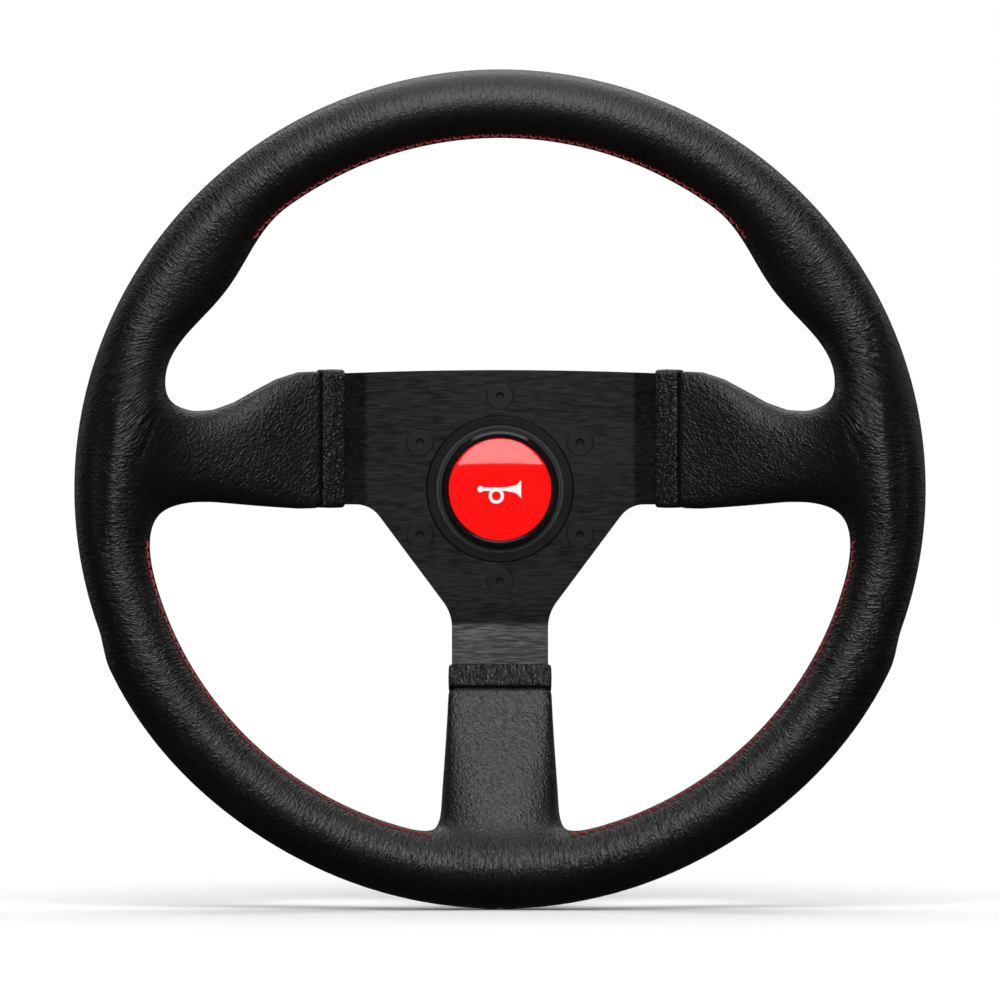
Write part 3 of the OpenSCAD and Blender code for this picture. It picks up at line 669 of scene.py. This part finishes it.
def add_piece(name, points, faces, look, replaced, slot, body="wheel"):
    """A smooth piece from points in mm, standing in for a CAD node and riding on a body."""
    mesh = bpy.data.meshes.new(name)
    mesh.from_pydata((np.asarray(points) * MM).tolist(), [], [list(f) for f in faces])
    mesh.materials.append(MATERIALS[look])
    mesh.shade_smooth()
    piece = bpy.data.objects.new(name, mesh)
    bpy.context.scene.collection.objects.link(piece)
    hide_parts(replaced)
    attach(piece, body)
    return piece


def give(mesh, name, values):
    """Stores a number or a vector at each point, for the material to read."""
    values = np.asarray(values, np.float32)
    if values.ndim == 2:
        mesh.attributes.new(name, "FLOAT_VECTOR", "POINT").data.foreach_set("vector", values.ravel())
    else:
        mesh.attributes.new(name, "FLOAT", "POINT").data.foreach_set("value", values)


def face_outwards(points, normals, quads):
    """The quads, turned over if they run the wrong way round for their normals."""
    a, b, c, d = (points[quads[:, k]] for k in range(4))
    facing = (np.cross(c - a, d - b) * normals[quads[:, 0]]).sum()
    return quads if facing > 0 else quads[:, ::-1]


def make_foam(grid_surface):
    """The foam fills the leather; its outside lies a little within the leather's inside."""
    points, quads = grid_surface
    piece = add_piece("rim_foam_moulding", points, quads.tolist(), "foam", "rim_foam", "grip_foam")


def make_leather():
    """The six panels of leather, each a closed shell cut from one smooth skin."""
    points, normals, quads, foam = leather_surface()
    make_foam(foam)
    quads = face_outwards(points, normals, quads)
    panel = panel_of(points[quads].mean(1))
    grains = grain_of(points)
    for node in sorted(set(panel)):
        own = quads[panel == node]
        used, index = np.unique(own, return_inverse=True)
        faces = index.reshape(own.shape)
        skin, skin_normals, faces = shell(points[used], normals[used], faces, LEATHER_T)
        piece = add_piece(node + "_skin", skin, faces.tolist(), "leather", node, "leather_black")
        piece.data.normals_split_custom_set_from_vertices(skin_normals.tolist())
        for name, values in grains.items():
            give(piece.data, name, np.concatenate([values[used], values[used]]))


# ---------------------------------------------------------------- dome, stitches, bands and springs

def make_dome():
    """The clear resin dome, set just clear of the disc under it."""
    back, apex, radius, rings, sides = -60.95, -63.6, 19.4, 24, 96
    rise = 2.1
    dome_r = (radius ** 2 + rise ** 2) / (2 * rise)
    tilt = np.linspace(math.asin(radius / dome_r), 0.002, rings)
    across = np.concatenate([[0.04, radius * 0.5, radius - 0.15, radius], dome_r * np.sin(tilt)])
    y = np.concatenate([[back, back, back, back - 0.15], apex + dome_r * (1 - np.cos(tilt))])
    turn = np.linspace(0, 2 * np.pi, sides, endpoint=False)
    points = np.stack([
        np.outer(across, np.cos(turn)), np.repeat(y[:, None], sides, 1), np.outer(across, np.sin(turn))
    ], -1).reshape(-1, 3)
    last = len(points) - sides
    ends = [list(range(sides))[::-1], list(range(last, len(points)))]
    faces = ring_faces(len(across), sides) + ends
    add_piece("horn_lens_dome", points, faces, "resin", "horn_lens", "lens_clear", "horn_button")


def ring_faces(rings, sides, loop=False):
    """Quads between rings of points laid one after another."""
    i, k = np.meshgrid(np.arange(rings if loop else rings - 1), np.arange(sides), indexing="ij")
    here, after = i * sides, (i + 1) % rings * sides
    beside = (k + 1) % sides
    return np.stack([here + k, here + beside, after + beside, after + k], -1).reshape(-1, 4).tolist()


def tube(path, radius, sides):
    """A round tube along a path of points, narrower at its ends: its points and faces."""
    path = np.asarray(path, float)
    along = np.gradient(path, axis=0)
    along /= np.linalg.norm(along, axis=1)[:, None]
    spare = np.where(np.abs(along[:, 1:2]) < 0.9, [[0, 1, 0]], [[1, 0, 0]])
    first = np.cross(along, spare)
    first /= np.linalg.norm(first, axis=1)[:, None]
    second = np.cross(along, first)
    turn = np.linspace(0, 2 * np.pi, sides, endpoint=False)
    end_share = 0.55
    size = np.full(len(path), radius)
    size[[0, -1]] *= end_share
    ring = np.cos(turn)[:, None] * first[:, None] + np.sin(turn)[:, None] * second[:, None]
    points = (path[:, None] + ring * size[:, None, None]).reshape(-1, 3)
    last = len(points) - sides
    ends = [list(range(sides))[::-1], list(range(last, len(points)))]
    return points, ring_faces(len(path), sides) + ends


def tubes(paths, radius, sides):
    points, faces = [], []
    for path in paths:
        more, more_faces = tube(path, radius, sides)
        faces += [[i + len(points) for i in face] for face in more_faces]
        points += more.tolist()
    return points, faces


def skin_at(degrees, tilt):
    """The skin at these angles round the wheel, tilt degrees from the inside of the rim."""
    a, t = np.radians(degrees), math.radians(tilt)
    r = rim_radius(np.cos(a), np.sin(a)) - GRIP_HALF * math.cos(t)
    front = np.full_like(a, RIM_Y - GRIP_DEEP * math.sin(t))
    points = np.stack([r * np.cos(a), front, r * np.sin(a)], 1)
    for _ in range(12):
        points, normals = onto_skin(points)
    return points, normals


def make_stitches():
    """Slanted stitches over the seam: each thread comes up on one side and goes down on the other."""
    reach, slant, crown, sunk = 1.5, 0.6, 0.75, -0.35
    thread_r, sides = 0.42, 8
    t = np.linspace(-1, 1, 9)[:, None]
    lift = sunk + (crown - sunk) * (1 - t ** 4)
    for node, (start, end) in STITCH_ARCS.items():
        count = int(math.radians(end - start) * (RIM_A - GRIP_HALF) / STITCH_PITCH)
        points, normals = skin_at(np.linspace(start, end, count), SEAM_TILT)
        along = np.gradient(points, axis=0)
        along /= np.linalg.norm(along, axis=1)[:, None]
        across = np.cross(along, normals)
        paths = [
            p + t * reach * a + t * slant * c + lift * n
            for p, n, a, c in zip(points, normals, along, across)
        ]
        add_piece(node + "_thread", *tubes(paths, thread_r, sides), "thread", node, "thread_red")


def rounded_ring(low, high, half, corner, inset, steps=6):
    """A rounded rectangle drawn in by inset, as (across, along the height)."""
    corner = max(corner - inset, 0.3)
    half, low, high = half - inset - corner, low + inset + corner, high - inset - corner
    middles = [(half, high, 0), (-half, high, 90), (-half, low, 180), (half, low, 270)]
    ring = []
    for across, up, start in middles:
        for k in range(steps + 1):
            t = math.radians(start + 90 * k / steps)
            ring.append((across + corner * math.cos(t), up + corner * math.sin(t)))
    return ring


def make_band(node, place, look, bend, start, low, high):
    """A strip of leather wrapped round an arm, its edges turned under."""
    width, thick, corner = 8.5, 9.2, 2.4
    angle = math.atan((PLATE_MID - RIM_Y) / (CORE_R - bend))
    slant = width / math.cos(angle)
    edge = [(0.6, 2.1), (0.1, 1.5), (0, 0.8), (0.15, 0.35), (0.5, 0.08), (1.1, 0), (2.4, -0.05)]
    outline = edge + [(slant / 2, -0.12)] + [(slant - s, inset) for s, inset in reversed(edge)]
    points = []
    for s, inset in outline:
        reach = (start - bend) / math.cos(angle) + s
        for off, side in rounded_ring(low, high, thick / 2, corner, inset):
            out = bend + reach * math.cos(angle) + off * math.sin(angle)
            y = PLATE_MID - reach * math.sin(angle) + off * math.cos(angle)
            points.append(place(out, y, side))
    faces = ring_faces(len(outline), len(points) // len(outline), loop=True)
    add_piece(node + "_wrap", points, faces, look, node, "band_black")


def make_bands():
    side = {"bend": SIDE_BEND, "start": 59.9, "low": -7.0, "high": 45.2}
    lower = {"bend": LOWER_BEND, "start": 67.4, "low": -19.4, "high": 19.4}
    make_band("end_band_right", lambda out, y, up: (out, y, up), "band_right", **side)
    make_band("end_band_left", lambda out, y, up: (-out, y, up), "band_left", **side)
    make_band("end_band_lower", lambda out, y, across: (across, y, -out), "band_lower", **lower)


def make_spring(node, radius, wire, near, far, turns):
    """A wire spring along the column, its end turns closed up."""
    closed = 0.75
    rise = math.copysign(2 * wire * closed, far - near)
    end = math.copysign(wire, far - near)
    t = np.linspace(0, turns, int(turns * 40) + 1)
    winds = [0, closed, turns - closed, turns]
    heights = [near + end, near + end + rise, far - end - rise, far - end]
    y = np.interp(t, winds, heights)
    angle = 2 * np.pi * t
    path = np.stack([radius * np.cos(angle), y, -radius * np.sin(angle)], 1)
    points, faces = tube(path, wire, 10)
    piece = add_piece(node + "_coil", points, faces, "wire", node, "spring_steel")
    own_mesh(piece)


def make_springs():
    make_spring("sleeve_spring", radius=22.1, wire=0.7, near=-16.05, far=-28.95,
                turns=4)
    make_spring("horn_spring", radius=12.8, wire=0.5, near=-58.35, far=-48.05,
                turns=4)
    make_spring("contact_spring", radius=2.02, wire=0.22, near=-34.05,
                far=-37.45, turns=3)


make_camera()
make_world()
make_lights()
make_floor()
bpy.context.scene.view_settings.view_transform = "Standard"

MATERIALS = make_materials()
dress_nodes()
make_leather()
make_dome()
make_bands()
make_stitches()
make_springs()
